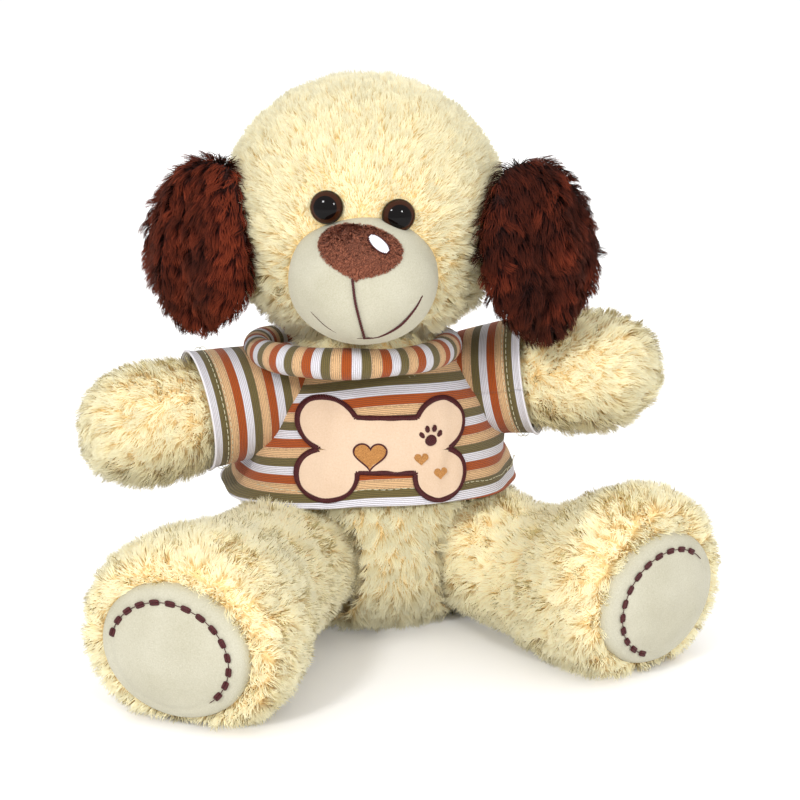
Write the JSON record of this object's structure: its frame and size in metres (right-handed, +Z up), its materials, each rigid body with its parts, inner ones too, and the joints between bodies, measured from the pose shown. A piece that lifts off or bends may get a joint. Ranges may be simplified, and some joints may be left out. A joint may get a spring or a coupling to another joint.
{
  "type": "plush dog",
  "caption": "Seated plush dog with floppy ears, soft muzzle and safety eyes, in a striped knit shirt with a bone patch; head, ears, arms, legs and tail move.",
  "frame": {"origin": "middle of the flat seat, on the floor", "axes": "+Z up, the face looks along -Y, +X towards the dog's own left"},
  "size_m": [0.3214, 0.2881, 0.288],
  "materials": {
    "cream_fur": "long-pile fur fabric",
    "brown_fur": "long-pile fur fabric",
    "ivory_velour": "short-pile velour",
    "nose_plush": "short-pile plush",
    "maroon_thread": "embroidery thread",
    "white_thread": "satin-stitched thread",
    "tan_thread": "embroidery thread",
    "striped_knit": "striped rib knit",
    "patch_fabric": "smooth woven fabric",
    "stuffing": "polyester fibre filling",
    "pellet_bag": "woven bag of plastic pellets",
    "eye_brown": "polished",
    "eye_black": "polished",
    "washer_white": "moulded"
  },
  "bodies": {
    "torso": {"torso_cover": "cream_fur", "torso_stuffing": "stuffing", "pellet_bag": "pellet_bag", "shirt_body": "striped_knit", "shirt_collar": "striped_knit", "bone_patch": "patch_fabric", "bone_border": "maroon_thread", "heart_motif": "tan_thread", "small_heart_upper": "tan_thread", "small_heart_lower": "tan_thread", "paw_motif": "maroon_thread"},
    "neck": {"neck_stuffing": "stuffing"},
    "head": {"head_cover": "cream_fur", "head_stuffing": "stuffing", "muzzle_cover": "ivory_velour", "muzzle_stuffing": "stuffing", "nose_patch": "nose_plush", "nose_glint": "white_thread", "mouth_embroidery": "maroon_thread", "eye_right_lens": "eye_brown", "eye_right_pupil": "eye_black", "eye_right_iris": "eye_brown", "eye_right_shank": "eye_black", "eye_right_washer": "washer_white", "eye_left_lens": "eye_brown", "eye_left_pupil": "eye_black", "eye_left_iris": "eye_brown", "eye_left_shank": "eye_black", "eye_left_washer": "washer_white"},
    "ear_left": {"ear_left_cover": "brown_fur", "ear_left_wadding": "stuffing"},
    "ear_right": {"ear_right_cover": "brown_fur", "ear_right_wadding": "stuffing"},
    "arm_left": {"arm_left_cover": "cream_fur", "arm_left_stuffing": "stuffing", "sleeve_left": "striped_knit"},
    "arm_right": {"arm_right_cover": "cream_fur", "arm_right_stuffing": "stuffing", "sleeve_right": "striped_knit"},
    "leg_left": {"leg_left_cover": "cream_fur", "leg_left_stuffing": "stuffing", "sole_left": "ivory_velour", "sole_left_stitching": "maroon_thread"},
    "leg_right": {"leg_right_cover": "cream_fur", "leg_right_stuffing": "stuffing", "sole_right": "ivory_velour", "sole_right_stitching": "maroon_thread"},
    "tail": {"tail_cover": "cream_fur", "tail_stuffing": "stuffing"}
  },
  "joints": [
    {"name": "neck_turn", "type": "hinge", "parent": "torso", "child": "neck", "pos_m": [-0.003, -0.004, 0.146], "axis": [0, 0, 1], "range_deg": [-20, 5]},
    {"name": "head_nod", "type": "hinge", "parent": "neck", "child": "head", "pos_m": [-0.003, -0.004, 0.146], "axis": [1, 0, 0], "range_deg": [-10, 3]},
    {"name": "ear_left_lift", "type": "hinge", "parent": "head", "child": "ear_left", "pos_m": [0.054, -0.02, 0.248], "axis": [0, -1, 0], "range_deg": [0, 55]},
    {"name": "ear_right_lift", "type": "hinge", "parent": "head", "child": "ear_right", "pos_m": [-0.063, -0.012, 0.247], "axis": [0, 1, 0], "range_deg": [0, 55]},
    {"name": "arm_left_raise", "type": "hinge", "parent": "torso", "child": "arm_left", "pos_m": [0.04482, 0.01035, 0.12], "axis": [0, -1, 0], "range_deg": [-25, 5]},
    {"name": "arm_right_raise", "type": "hinge", "parent": "torso", "child": "arm_right", "pos_m": [-0.04482, -0.01035, 0.12], "axis": [0, 1, 0], "range_deg": [-18, 10]},
    {"name": "leg_left_splay", "type": "hinge", "parent": "torso", "child": "leg_left", "pos_m": [0.05022, -0.01304, 0.041], "axis": [0, 0, 1], "range_deg": [-8, 12]},
    {"name": "leg_right_splay", "type": "hinge", "parent": "torso", "child": "leg_right", "pos_m": [-0.03942, -0.03373, 0.041], "axis": [0, 0, -1], "range_deg": [-8, 12]},
    {"name": "tail_wag", "type": "hinge", "parent": "torso", "child": "tail", "pos_m": [-0.01462, 0.06333, 0.036], "axis": [0, 0, 1], "range_deg": [-22, 22]}
  ]
}
